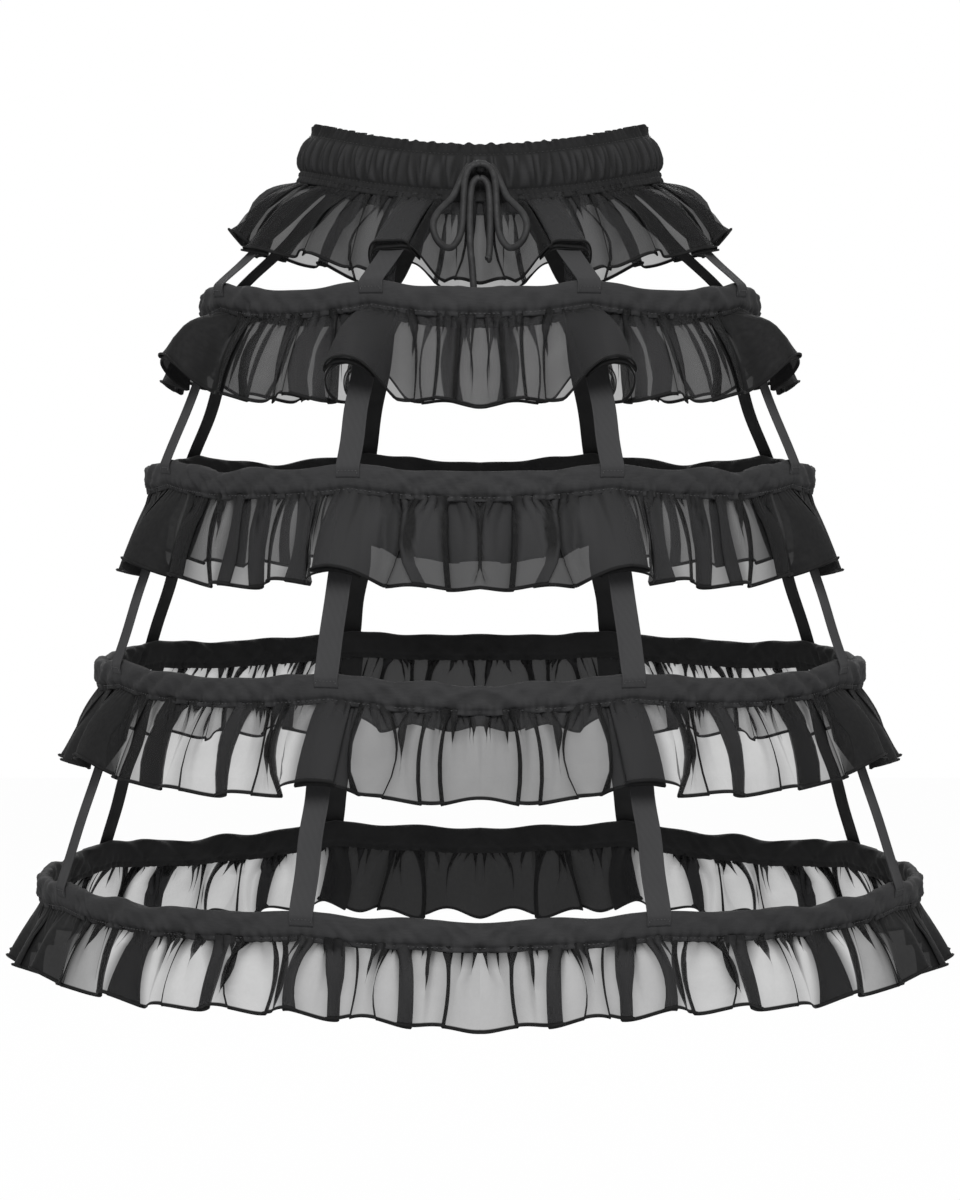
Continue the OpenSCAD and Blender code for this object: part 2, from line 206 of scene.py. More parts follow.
def chiffonFinish():
    f = Finish("blackChiffon")
    cloth = f.coords("UV")
    cover = f.attribute("cover")
    shade = f.attribute("shade")
    crepe = f.noise(f.mapped(cloth, (420.0, 260.0, 1.0)), 1.0, 3.0, 0.6)
    cloud = f.noise(cloth, 24.0, 2.0)
    face = chiffonLook["face"]
    tone = f.blend(f.ranged(crepe, 0.0, 1.0), grey(face * 0.9), grey(face * 1.1))
    # painted shade: the shade attribute darkens the cloth toward the dark tone in narrow folds, in the crowded gathers
    # below the seam, at the sides and at the centre back; the rolled hem rows take the dark tone too
    tone = f.blend(shade, tone, grey(chiffonLook["dark"]))
    thin = 1.0 - cover
    share = cover + thin * ((cloud - 0.5) * 0.35 + (crepe - 0.5) * chiffonLook["grain"])
    return f.surface(Base_Color=tone, Roughness=f.ranged(crepe, 0.72, 0.88), Alpha=f.clamped(share),
                     Normal=f.bump(crepe, 0.15, 0.2 * mm), Specular_IOR_Level=0.2)


# the 'wrong' entry is the dark tone of the painted shade on the tape's inward face
tapeLook = {"face": 0.040, "shadeTone": 0.007, "groove": 0.036, "rib": 0.7 * mm}


def tapeFinish():
    f = Finish("blackTape")
    cloth = f.coords("UV")
    inside = f.attribute("inside")
    ribs = f.wave(f.mapped(cloth, (1.0, 1.0, 1.0), math.radians(28.0)), 1.0 / (tapeLook["rib"] * 20), "X", 0.6)
    cloud = f.noise(cloth, 60.0, 3.0, 0.6)
    tone = f.blend(f.spread(ribs, 0.0, 1.0, 0.0, 0.7), grey(tapeLook["groove"]), grey(tapeLook["face"]))
    tone = f.blend(f.ranged(cloud, 0.0, 0.4), tone, grey(tapeLook["face"] * 1.1))
    # painted shade: this share darkens the tape toward the dark tone on its inward face, and on the lap only to the
    # casing's tone
    tone = f.blend(inside, tone, grey(tapeLook["shadeTone"]))
    return f.surface(Base_Color=tone, Roughness=f.ranged(cloud, 0.78, 0.92),
                     Normal=f.bump(ribs * 0.4 + cloud, 0.2, 0.1 * mm), Specular_IOR_Level=0.25)


cordLook = {"face": 0.022, "fold": 0.009}


def cordFinish():
    f = Finish("blackCord")
    place = f.coords("Object")
    cloud = f.noise(place, 160.0, 2.0)
    fuzz = f.noise(place, 900.0, 2.0)
    tone = f.blend(f.ranged(cloud, 0.0, 1.0), grey(cordLook["fold"]), grey(cordLook["face"]))
    return f.surface(Base_Color=tone, Roughness=f.ranged(fuzz, 0.6, 0.8),
                     Normal=f.bump(cloud + fuzz * 0.3, 0.3, 0.4 * mm), Specular_IOR_Level=0.35)


threadLook = {"face": 0.085, "shade": 0.04, "dim": 0.25}


def threadFinish(name, bright):
    f = Finish(name)
    ply = f.noise(f.coords("Object"), 2200.0, 1.0)
    tone = f.blend(ply, grey(threadLook["shade"] * bright), grey(threadLook["face"] * bright))
    return f.surface(Base_Color=tone, Roughness=f.ranged(ply, 0.45, 0.65), Specular_IOR_Level=0.4)


boneLook = {"grain": (60.0, 60.0, 900.0), "dark": (0.70, 0.69, 0.64, 1.0), "light": (0.80, 0.79, 0.75, 1.0),
            "rough": (0.35, 0.5), "metal": 0.0}
sleeveLook = {"grain": (80.0, 80.0, 2400.0), "dark": (0.48, 0.48, 0.47, 1.0), "light": (0.60, 0.60, 0.59, 1.0),
              "rough": (0.28, 0.42), "metal": 1.0}


def streakFinish(name, look):
    f = Finish(name)
    streak = f.noise(f.mapped(f.coords("Object"), look["grain"]), 1.0, 2.0)
    return f.surface(Base_Color=f.blend(streak, look["dark"], look["light"]), Metallic=look["metal"],
                     Roughness=f.ranged(streak, *look["rough"]))


def elasticFinish():
    f = Finish("blackElastic")
    place = f.coords("Object")
    rows = f.wave(place, 60.0, "Z")
    grain = f.noise(place, 700.0, 2.0)
    tone = f.blend(rows, grey(0.012), grey(0.03))
    return f.surface(Base_Color=tone, Roughness=f.ranged(grain, 0.75, 0.9),
                     Normal=f.bump(rows + grain, 0.4, 0.3 * mm))


finishes = {
    "cotton": cottonFinish(), "chiffon": chiffonFinish(), "tape": tapeFinish(), "cord": cordFinish(),
    "thread": threadFinish("blackThread", 1.0), "darkThread": threadFinish("darkThread", threadLook["dim"]),
    "bone": streakFinish("whiteBone", boneLook), "sleeve": streakFinish("steelSleeve", sleeveLook),
    "elastic": elasticFinish(),
}
print("finishes made:", len(finishes))


# sizes shared with the frame, in millimetres and degrees

cage = {
    "hoopRadius": (0.0, 204.0, 245.5, 283.5, 326.5), "hoopHeight": (0.0, -110.0, -238.0, -382.0, -540.0),
    "waistHalfWidth": 129.0, "waistHalfDepth": 101.0, "waistFlare": 10.0, "waistDip": 19.0, "waistTall": 42.6,
    "boneTall": 9.0, "casingThick": 9.0, "casingTall": 18.0, "lip": 3.0, "seamDeep": 4.0, "layGap": 0.3,
    "tapeWide": 18.0, "tapeThick": 1.0, "waistTapeSeat": 1.283, "hoopTapeSeat": 0.85,
    "tapeDrop": 1.613, "tapeRide": 5.3, "ruffleSeat": 0.55,
    "sagFront": (0.0, 6.8, 6.0, 6.8, 4.4), "sagBack": (0.0, 6.8, 7.5, 4.3, 8.3), "backDrop": (0.0, 0.0, 0.0, 0.0, 3.0),
}
tapeNames = ("back_left", "side_back_left", "side_front_left", "front_left",
             "front_right", "side_front_right", "side_back_right", "back_right")
tapePlaces = np.radians((-158.5, -117.0, -65.5, -21.5, 21.5, 65.5, 117.0, 158.5))
bayEdges = np.radians((-21.5, 21.5, 65.5, 117.0, 158.5, 201.5))  # either side, by the angle from the front
waistEndWide = cage["waistHalfWidth"] + cage["waistFlare"] / 2
waistEndDeep = cage["waistHalfDepth"] + cage["waistFlare"] / 2


def eased(value, low, high):
    share = np.clip((value - low) / (high - low), 0.0, 1.0)
    return share * share * (3.0 - 2.0 * share)


def plateau(value, rise, fall):  # eases up over the first range and down over the second
    return eased(value, *rise) * (1.0 - eased(value, *fall))


def fromFront(a):
    return np.abs((a + np.pi) % (2 * np.pi) - np.pi)


def bayOf(a):
    bay = np.clip(np.searchsorted(bayEdges, fromFront(a)) - 1, 0, len(bayEdges) - 2)
    return bay, (fromFront(a) - bayEdges[bay]) / (bayEdges[bay + 1] - bayEdges[bay])


def hoopRise(hoop, a):  # the hoop hangs by its tapes, so it peaks there and sags between
    share = bayOf(a)[1]
    front = (1.0 + np.cos(a)) / 2
    sag = cage["sagBack"][hoop] + (cage["sagFront"][hoop] - cage["sagBack"][hoop]) * front
    return sag / 2 * (2.0 * (2.0 * share - 1.0) ** 2 - 1.0) - cage["backDrop"][hoop] * (1.0 - front)


def waistTurn(a, o):
    return np.arctan2(np.sin(a) / (waistEndWide + o), np.cos(a) / (waistEndDeep + o))


def seamRadius(tier, a, o):
    if tier == 0:
        return 1.0 / np.hypot(np.sin(a) / (waistEndWide + o), np.cos(a) / (waistEndDeep + o))
    return cage["hoopRadius"][tier] + o + np.zeros_like(a)


def seamHeight(tier, a, o):
    if tier == 0:
        return -cage["waistTall"] / 2 - cage["waistDip"] * np.cos(waistTurn(a, o)) ** 2 - cage["layGap"]
    return cage["hoopHeight"][tier] - cage["casingTall"] / 2 - cage["lip"] - cage["layGap"] + hoopRise(tier, a)


def seamLean(tier):
    return -cage["waistFlare"] / cage["waistTall"] if tier == 0 else 0.0


def tapeStart(hoop, a):
    seat = -cage["waistTapeSeat"] if hoop == 1 else -cage["hoopTapeSeat"]
    drop = cage["tapeDrop"] if hoop == 1 else 0.0
    return seamRadius(hoop - 1, a, seat) - seamLean(hoop - 1) * drop, seamHeight(hoop - 1, a, seat) - drop


def tapeSlope(hoop, a):
    r, z = tapeStart(hoop, a)
    across = cage["hoopRadius"][hoop] - r
    down = z - (cage["hoopHeight"][hoop] + cage["boneTall"] / 2 + hoopRise(hoop, a))
    return np.arctan2(across, down) + np.arcsin(cage["tapeRide"] / np.hypot(across, down))


def tapeOff(tier, a):
    turns = np.abs((a[..., None] - tapePlaces + np.pi) % (2 * np.pi) - np.pi)
    nearest = np.argmin(turns, axis=-1)
    return seamRadius(tier, a, 0.0) * np.min(turns, axis=-1), nearest


def ripple(seed, length, spread=0.45, parts=7):
    # a seeded mix of waves of about this length, the same from the front round either side
    draw = np.random.default_rng(seed)
    waves = 2 * np.pi / (length * draw.uniform(1.0 - spread, 1.0 + spread, parts))
    starts = draw.uniform(0.0, 2 * np.pi, parts)
    sizes = draw.uniform(0.5, 1.0, parts)
    sizes = sizes / np.sqrt(np.sum(sizes ** 2) / 2)
    return lambda place: np.sum(sizes * np.sin(np.asarray(place)[..., None] * waves + starts), axis=-1)


def meshOf(name, bm):
    mesh = bpy.data.meshes.new(name)
    bm.to_mesh(mesh)
    bm.free()
    return mesh


def addPiece(name, bm, finish, nodes=(), smooth=True):
    mesh = meshOf(name, bm)
    mesh.materials.append(finishes[finish])
    mesh.polygons.foreach_set("use_smooth", [smooth] * len(mesh.polygons))
    piece = bpy.data.objects.new(name, mesh)
    scene.collection.objects.link(piece)
    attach(piece, "root")
    if nodes:
        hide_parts(*nodes)
    return piece


def placeAll(bm, points):
    for vert, point in zip(bm.verts, points):
        vert.co = point


def gridMesh(points, wraps, cloth=None, shares=None):
    # a grid laid at these points (row, column), joined wherever its edges meet; wraps tells whether the rows and the
    # columns close on themselves, cloth gives the UV and shares the finish's attributes at every point
    tall, wide = len(points), len(points[0])
    rows, columns = tall - 1 + wraps[0], wide - 1 + wraps[1]
    bm = bmesh.new()
    bmesh.ops.create_grid(bm, x_segments=columns, y_segments=rows, size=0.5)
    spots = [(int(round((v.co.y + 0.5) * rows)) % tall, int(round((v.co.x + 0.5) * columns)) % wide) for v in bm.verts]
    if cloth is not None:
        uv = bm.loops.layers.uv.new("cloth")
        bm.verts.index_update()
        for corner in (c for face in bm.faces for c in face.loops):
            row, column = spots[corner.vert.index]
            corner[uv].uv = cloth[row][column]
    for name, values in (shares or {}).items():
        layer = bm.verts.layers.float.new(name)
        for vert, spot in zip(bm.verts, spots):
            vert[layer] = values[spot]
    placeAll(bm, [points[row][column] for row, column in spots])
    bmesh.ops.remove_doubles(bm, verts=[v for v in bm.verts if v.is_boundary], dist=1e-7)
    return bm


def closedMesh(points, wraps, cloth=None, shares=None):
    bm = gridMesh(points, wraps, cloth, shares)
    bmesh.ops.holes_fill(bm, edges=[e for e in bm.edges if e.is_boundary], sides=0)
    bmesh.ops.recalc_face_normals(bm, faces=bm.faces)
    return bm


# drawstring, its left half in millimetres; the right half is the left one mirrored, with a shorter tail

bow = {
    "diameter": 5.0, "sides": 14, "steps": 6, "shortTail": 10,
    "loop": ((-0.2, -117, -13.4), (-5, -117.2, -14.6), (-8.6, -117.6, -18.2), (-10.6, -118.4, -24.5),
             (-11.4, -119.6, -32), (-11.8, -121.5, -40), (-12.2, -124, -49), (-13, -128, -59), (-15.5, -133, -68),
             (-20.5, -137.5, -74), (-26.5, -140.5, -73), (-31.5, -142, -67), (-33.5, -140.5, -58.5),
             (-31, -136, -50.5), (-26, -130, -44.5), (-20, -123, -38), (-16, -117.5, -30), (-13, -114.5, -23),
             (-10, -113, -17.5), (-7.5, -112.5, -14)),
    "tail": ((-0.2, -116.2, -23.6), (-3, -116.4, -24.6), (-5.4, -117.2, -28), (-6.5, -118.6, -33.5),
             (-7, -121.5, -41), (-7.2, -125, -50), (-7.2, -129, -60), (-7, -132.5, -71), (-6.5, -134.5, -79),
             (-6, -135.5, -83), (-5.2, -137, -93), (-4.6, -138, -102), (-3.8, -138.7, -108)),
    "knotPlace": (0.0, -110.4, -15.0), "knotRadius": 2.625, "endRise": (0.0, 0.0, 1.0), "endRadius": 1.7,
    "knot": {"wide": 2.7, "tall": 2.3, "turns": 2.2, "points": 44},
    "end": {"wide": 1.2, "tall": 1.5, "turns": 1.6, "points": 30},
}


def smoothRoute(points, steps):
    fixed = np.array([points[0]] + list(points) + [points[-1]], dtype=float)
    made = []
    for i in range(1, len(fixed) - 2):
        for t in np.linspace(0.0, 1.0, steps, endpoint=False):
            a, b, c, d = fixed[i - 1:i + 3]
            made.append(0.5 * (2 * b + (c - a) * t + (2 * a - 5 * b + 4 * c - d) * t ** 2
                               + (3 * b - a - 3 * c + d) * t ** 3))
    made.append(fixed[-2])
    return np.array(made)


def routeLength(route):
    return float(np.sum(np.linalg.norm(np.diff(route, axis=0), axis=1)))


def makeCord(name, route, radius, nodes=()):
    # a circle carried along the route
    ways = np.gradient(route, axis=0)
    ways /= np.linalg.norm(ways, axis=1)[:, None]
    side = np.cross(ways[0], (0.0, 1.0, 0.0))
    turns = np.linspace(0.0, 2 * np.pi, bow["sides"], endpoint=False)[:, None]
    rings = []
    for point, way in zip(route, ways):
        side = side - way * np.dot(side, way)
        side /= np.linalg.norm(side)
        rings.append((point + radius * (np.cos(turns) * side + np.sin(turns) * np.cross(way, side))) * mm)
    return addPiece(name, closedMesh(rings, (False, True)), "cord", nodes)


def knotRoute(centre, wide, tall, turns, points):
    t = np.linspace(0.0, 1.0, points)
    turn = 2 * np.pi * turns * t
    return np.stack((centre[0] + wide * (2 * t - 1) + 0.7 * np.sin(turn * 0.5),
                     centre[1] - tall * np.cos(turn), centre[2] + tall * np.sin(turn)), axis=1)


def makeDrawstring():
    radius = bow["diameter"] / 2
    knot = makeCord("bowKnot", knotRoute(bow["knotPlace"], **bow["knot"]), bow["knotRadius"])
    for side, sense, count, nodes, held in (("Left", (1.0, 1.0, 1.0), len(bow["tail"]), ["drawstring"], [knot]),
                                            ("Right", (-1.0, 1.0, 1.0), bow["shortTail"], [], [])):
        loop = smoothRoute(np.array(bow["loop"]) * sense, bow["steps"])
        piece = makeCord("bowLoop" + side, loop, radius, nodes)
        tail = smoothRoute(np.array(bow["tail"][:count]) * sense, bow["steps"])
        piece = makeCord("bowTail" + side, tail, radius)
        end = makeCord("tailKnot" + side, knotRoute(tail[-1] + bow["endRise"], **bow["end"]), bow["endRadius"])
        print("drawstring", side, "loop", round(routeLength(loop)), "tail", round(routeLength(tail)))


makeDrawstring()


# ruffles, gathered into the waistband and into the bottom of every casing

ruffleCut = {
    "pitch": 0.95, "planStep": 0.2, "endWide": 12.0, "hemAllowance": 5.0, "rollSize": 1.0, "rollStep": 1.6,
    "foldTurn": 4.6, "foldOver": 172.0, "tuckOver": 150.0, "narrow": 5.0, "whole": 200.0, "hemDeep": 1.5,
    "flute": 7.0, "bulge": 2.5, "warp": 3.2, "warpWide": 62.0, "flameWide": 15.0, "flameDeep": 8.0, "halo": 4.0,
    "gatherWide": 6.2, "gatherSize": 2.6, "gatherDeep": 7.5, "sideShade": 0.88,
    "rows": (-3.5, 0.0, 1.5, 3.2, 5.4, 8.2, 11.6, 15.8, 21.0, 27.5), "lowRow": 34.5, "lastRow": 0.7,
}
# how long the slow changes round a ruffle are, in millimetres
ruffleWaves = {"space": 40.0, "size": 30.0, "reach": 23.0, "slant": 60.0, "swell": 60.0, "length": 90.0, "blaze": 22.0}
sideRise, sideFall = np.radians((35.0, 55.0)), np.radians((100.0, 120.0))
backBay, backRise = np.radians((104.0, 120.0)), np.radians((156.5, 159.5))
foldDraw = {
    "atTape": 4.0, "gap": 46.0, "stride": (18.0, 32.0), "room": 14.0, "broadShare": 0.3, "broad": (7.0, 14.0),
    "slim": (2.2, 3.6), "taper": (0.4, 0.95), "seededTaper": (0.3, 0.9), "tuckStart": (4.0, 9.0), "tuckEnd": 6.0,
    "tuckWide": (1.6, 3.0), "tuckRoom": 5.5, "tuckStride": (9.0, 17.0), "shortShare": 0.75, "short": (9.0, 30.0),
    "long": (30.0, 60.0),
}
# how thick the cloth looks in the centre front, the front bays, the sides, the back bays and the centre back; at the
# sides and the centre back it is set close to opaque, partly for the layered cloth and partly as painted shade
coverAngles = np.radians((0.0, 20.0, 23.0, 50.0, 60.0, 104.0, 114.0, 156.5, 159.5, 180.0))
# front and side: how far it leans out there, in degrees; lift: how far it clears a tape; arch: where the hood over a
# tape starts and ends; packed: the cover where folds lie; inner: the shade at the centre back
# lengths: the cut depth's share at each angle from the front
# each fold: angle from the front, width of its overlap, which way it lies
ruffleTiers = (
    {"node": "top_ruffle", "depth": 60.0, "front": 12.0, "side": 50.0, "lift": 1.5, "arch": (5.0, 17.0), "crest": 0.0,
     "tab": 0.2, "flutes": 3, "seed": 11, "cover": (0.76, 0.83, 0.66, 0.60, 0.64), "packed": 0.88,
     "inner": 0.1, "belly": 7.0, "lengths": ((0, 1.0), (40, 1.0), (90, 1.06), (180, 1.0)),
     "folds": ((8.0, 3.0, 1), (15.5, 5.0, -1), (22.0, 21.0, 1), (33.0, 3.0, -1), (42.0, 4.0, 1), (52.0, 9.0, 1),
               (63.0, 16.0, -1), (76.0, 6.0, 1))},
    {"node": "ruffle_1", "depth": 62.0, "front": 14.0, "side": 30.0, "lift": 24.0, "arch": (4.0, 21.0), "crest": 1.0,
     "tab": 0.0, "flutes": 3, "seed": 23, "cover": (0.68, 0.78, 0.985, 0.58, 0.64), "packed": 0.80,
     "inner": 0.2, "belly": 5.0, "lengths": ((0, 1.0), (50, 0.98), (70, 0.9), (110, 0.9), (130, 1.0), (180, 1.0)),
     "folds": ((4.5, 3.0, 1), (8.0, 2.5, -1), (12.0, 3.0, 1), (20.8, 28.0, -1), (29.0, 3.0, 1), (33.4, 11.0, -1),
               (37.0, 2.5, 1), (40.9, 12.0, 1), (47.0, 5.0, -1), (53.0, 8.0, 1), (63.5, 24.0, -1), (74.0, 12.0, 1))},
    {"node": "ruffle_2", "depth": 61.0, "front": 12.0, "side": 16.0, "lift": 9.0, "arch": (3.0, 27.0), "crest": 1.0,
     "tab": 0.0, "flutes": 4, "seed": 37, "cover": (0.93, 0.68, 0.985, 0.54, 0.97), "packed": 0.96,
     "inner": 0.5, "belly": 2.0, "lengths": ((0, 1.0), (180, 1.0)),
     "folds": ((4.8, 5.0, 1), (9.0, 8.0, -1), (14.9, 3.0, 1), (20.9, 27.0, -1), (29.9, 14.0, 1), (34.0, 3.0, -1),
               (38.1, 13.0, -1), (43.4, 10.0, 1), (49.0, 4.0, -1), (54.0, 10.0, 1), (63.0, 24.0, -1), (72.0, 12.0, 1))},
    {"node": "ruffle_3", "depth": 61.0, "front": 20.0, "side": 24.0, "lift": 9.0, "arch": (3.0, 27.0), "crest": 1.0,
     "tab": 0.0, "flutes": 4, "seed": 41, "cover": (0.73, 0.44, 0.98, 0.42, 0.97), "packed": 0.96,
     "inner": 0.3, "belly": 2.5, "lengths": ((0, 1.0), (40, 1.03), (65, 0.96), (110, 0.95), (150, 1.0), (180, 1.0)),
     "folds": ((4.8, 3.0, 1), (7.6, 2.5, -1), (12.3, 3.0, 1), (16.0, 4.0, -1), (20.7, 27.0, 1), (27.0, 3.0, -1),
               (30.3, 3.0, 1), (35.8, 15.0, -1), (42.0, 3.0, 1), (49.7, 20.0, -1), (56.0, 6.0, 1), (63.5, 24.0, -1),
               (71.0, 10.0, 1), (79.0, 8.0, -1), (125.8, 3.0, 1), (133.0, 4.0, -1), (138.5, 3.0, 1), (144.7, 3.0, 1),
               (149.6, 8.0, -1), (157.1, 22.0, 1), (164.3, 4.0, -1), (172.6, 5.0, 1))},
    {"node": "ruffle_4", "depth": 50.0, "front": 24.0, "side": 24.0, "crest": 1.0, "tab": 0.0, "flutes": 5,
     "seed": 59, "cover": (0.55, 0.44, 0.98, 0.48, 0.985), "packed": 0.96, "inner": 0.74, "belly": 2.0,
     "lengths": ((0, 1.07), (10, 1.02), (22, 0.97), (60, 0.96), (90, 0.93), (120, 0.98), (150, 1.05), (165, 1.18),
                 (180, 1.2)),
     "folds": ((3.9, 3.0, 1), (8.4, 9.0, -1), (11.5, 2.5, 1), (14.4, 3.0, 1), (16.8, 12.0, -1), (21.6, 9.0, 1),
               (25.5, 3.0, -1), (29.3, 4.0, 1), (33.5, 10.0, -1), (38.5, 3.0, 1), (45.7, 24.0, 1), (52.0, 6.0, -1),
               (58.0, 10.0, 1), (66.0, 8.0, -1), (74.0, 12.0, 1), (83.0, 9.0, -1), (121.0, 4.0, 1), (124.8, 14.0, -1),
               (130.7, 18.0, 1), (137.6, 5.0, -1), (140.4, 3.0, 1), (149.4, 22.0, -1), (160.0, 16.0, 1),
               (166.6, 5.0, -1), (172.4, 5.0, 1))},
)


def plainSlope(cut, a):
    return np.radians(cut["front"] + (cut["side"] - cut["front"]) * np.sin(a) ** 2)


def tapeShare(tier, cut, a):
    if tier == 4:
        return np.zeros_like(a)
    off = tapeOff(tier, a)[0]
    flat, reach = cut["arch"]
    return np.sqrt(1.0 - np.clip((off - flat) / (reach - flat), 0.0, 1.0) ** 2)


def ruffleSlope(tier, cut, a):
    plain = plainSlope(cut, a)
    if tier == 4:
        return plain
    under = tapeSlope(tier + 1, tapePlaces)[tapeOff(tier, a)[1]]
    ridden = np.maximum(plain, under + math.radians(cut["lift"]))
    return plain + (ridden - plain) * tapeShare(tier, cut, a)


def fluteWave(cut, a):
    bay, share = bayOf(a)
    wide = bayEdges[1:] - bayEdges[:-1]
    counts = np.maximum(np.round(cut["flutes"] * wide / wide[0]), 1.0)
    return np.cos(2 * np.pi * share * counts[bay])


def allFolds(cut, arcs, angles):
    # the folds that are given, seeded ones wherever a stretch has none, and short tucks from the seam between them;
    # each as place, width, sense, how far down it reaches and how much of its width is left at the hem
    draw = np.random.default_rng(cut["seed"])
    whole = ruffleCut["whole"]
    folds = []
    for a, wide, sense in cut["folds"]:
        atTape = min(abs(a - math.degrees(t)) for t in tapePlaces) < foldDraw["atTape"]
        taper = 1.0 if atTape else draw.uniform(*foldDraw["taper"])
        folds.append((float(np.interp(math.radians(a), angles, arcs)), wide, sense, whole, taper))
    place = 0.0
    for here, wide in [fold[:2] for fold in sorted(folds)] + [(arcs[-1], 0.0)]:
        while here - place > foldDraw["gap"]:
            place += draw.uniform(*foldDraw["stride"])
            broad = draw.uniform(*foldDraw["broad" if draw.random() < foldDraw["broadShare"] else "slim"])
            if here - place > foldDraw["room"]:
                sense = 1 if draw.random() < 0.5 else -1
                folds.append((place, broad, sense, whole, draw.uniform(*foldDraw["seededTaper"])))
        place = here + wide / 2
    long = list(folds)
    place = draw.uniform(*foldDraw["tuckStart"])
    while place < arcs[-1] - foldDraw["tuckEnd"]:
        wide = draw.uniform(*foldDraw["tuckWide"])
        if all(abs(place - fold[0]) > fold[1] / 2 + foldDraw["tuckRoom"] for fold in long):
            reach = draw.uniform(*foldDraw["short" if draw.random() < foldDraw["shortShare"] else "long"])
            folds.append((place, wide, 1 if draw.random() < 0.5 else -1, reach, 1.0))
        place += draw.uniform(*foldDraw["tuckStride"])
    return sorted(folds)


def bendCloth(s, marks):
    # how far round and how far out a cloth folded at these marks lies, along its length
    step = s[1] - s[0]
    tilt = np.zeros_like(s)
    for first, second, top, turn in marks:
        rise = eased(s, first - turn / 2, first + turn / 2)
        tilt += top * (rise - eased(s, second - turn / 2, second + turn / 2))
    around = np.concatenate(([0.0], np.cumsum(np.cos(tilt[:-1]) * step)))
    out = np.concatenate(([0.0], np.cumsum(np.sin(tilt[:-1]) * step)))
    rests, held = [0.0], [0.0]
    for first, second, top, turn in marks:
        level = float(np.interp((first + second) / 2, s, out))
        rests += [first - turn, second + turn]
        held += [level, level]
    out = out - np.interp(s, rests + [s[-1]], held + [float(out[-1])])
    return around, out, tilt


def foldPlan(cut, arcs, angles):
    # half the cloth's plan: with every fold as at the seam, with only the long folds as at the hem,
    # how far down the short ones reach and where the broad ones are
    here, length = 0.0, 0.0
    marks = []
    for place, wide, sense, reach, taper in allFolds(cut, arcs, angles):
        turn = min(ruffleCut["foldTurn"], 1.0 + 0.55 * wide)
        top = math.radians(ruffleCut["foldOver" if wide > ruffleCut["narrow"] else "tuckOver"])
        ahead = max(place + wide / 2 - here, turn)
        first = length + ahead
        second = first + wide + turn * 0.5
        marks.append({"first": first, "second": second, "middle": (first + second) / 2, "top": sense * top,
                      "turn": turn, "wide": wide, "reach": reach, "less": wide * (1 - taper) / 2})
        here = here + ahead - wide
        length = second
    length += max(arcs[-1] - here, ruffleCut["foldTurn"] * 2)
    s = np.arange(0.0, length + ruffleCut["planStep"], ruffleCut["planStep"])
    broad = np.zeros_like(s)
    for m in marks:
        if m["wide"] > ruffleCut["narrow"]:
            rise = eased(s, m["first"] - 1.5, m["first"] + 1.0)
            broad = np.maximum(broad, rise - eased(s, m["second"] - 1.0, m["second"] + 1.5))
    long = [m for m in marks if m["reach"] == ruffleCut["whole"]]
    short = [m for m in marks if m["reach"] < ruffleCut["whole"]]
    seam = bendCloth(s, [(m["first"], m["second"], m["top"], m["turn"]) for m in marks])
    hem = bendCloth(s, [(m["first"] + m["less"], m["second"] - m["less"], m["top"], m["turn"]) for m in long])
    scale = arcs[-1] / seam[0][-1]
    anchors = [0.0] + [m["middle"] for m in long] + [s[-1]]
    shift = np.interp(anchors, s, seam[0] - hem[0])
    opened = (hem[0] + np.interp(s, anchors, shift)) * scale
    reaches = np.interp(s, [m["middle"] for m in short], [m["reach"] for m in short])
    knots = np.maximum.accumulate([x for m in long for x in (m["first"] - m["turn"], m["second"] + m["turn"])])
    middles = np.repeat([opened[int(m["middle"] / ruffleCut["planStep"])] for m in long], 2)
    together = np.interp(s, np.concatenate(([0.0], knots, [s[-1]])), np.concatenate(([0.0], middles, [arcs[-1]])))
    return s, {"together": together, "seam": seam[0] * scale, "seamOut": seam[1], "hem": opened, "hemOut": hem[1],
               "tilt": hem[2], "broad": broad, "reach": reaches}


def crowding(u, share, grid, wide):
    # how much of the cloth lies folded round each place
    counts = np.histogram(u, bins=grid, weights=share * ruffleCut["pitch"] / (grid[1] - grid[0]))[0]
    reach = np.arange(-3.0 * wide, 3.0 * wide + 0.1, grid[1] - grid[0])
    weights = np.exp(-0.5 * (reach / wide) ** 2)
    return np.interp(u, (grid[1:] + grid[:-1]) / 2, np.convolve(counts, weights / weights.sum(), mode="same"))


def clothMesh(points, cloth, shares):
    bm = gridMesh(points, (False, False), cloth, shares)
    bm.normal_update()
    bm.faces.ensure_lookup_table()
    face = bm.faces[len(bm.faces) // 2]
    middle = face.calc_center_median()
    if face.normal.x * middle.x + face.normal.y * middle.y < 0:
        bmesh.ops.reverse_faces(bm, faces=bm.faces)
    return bm


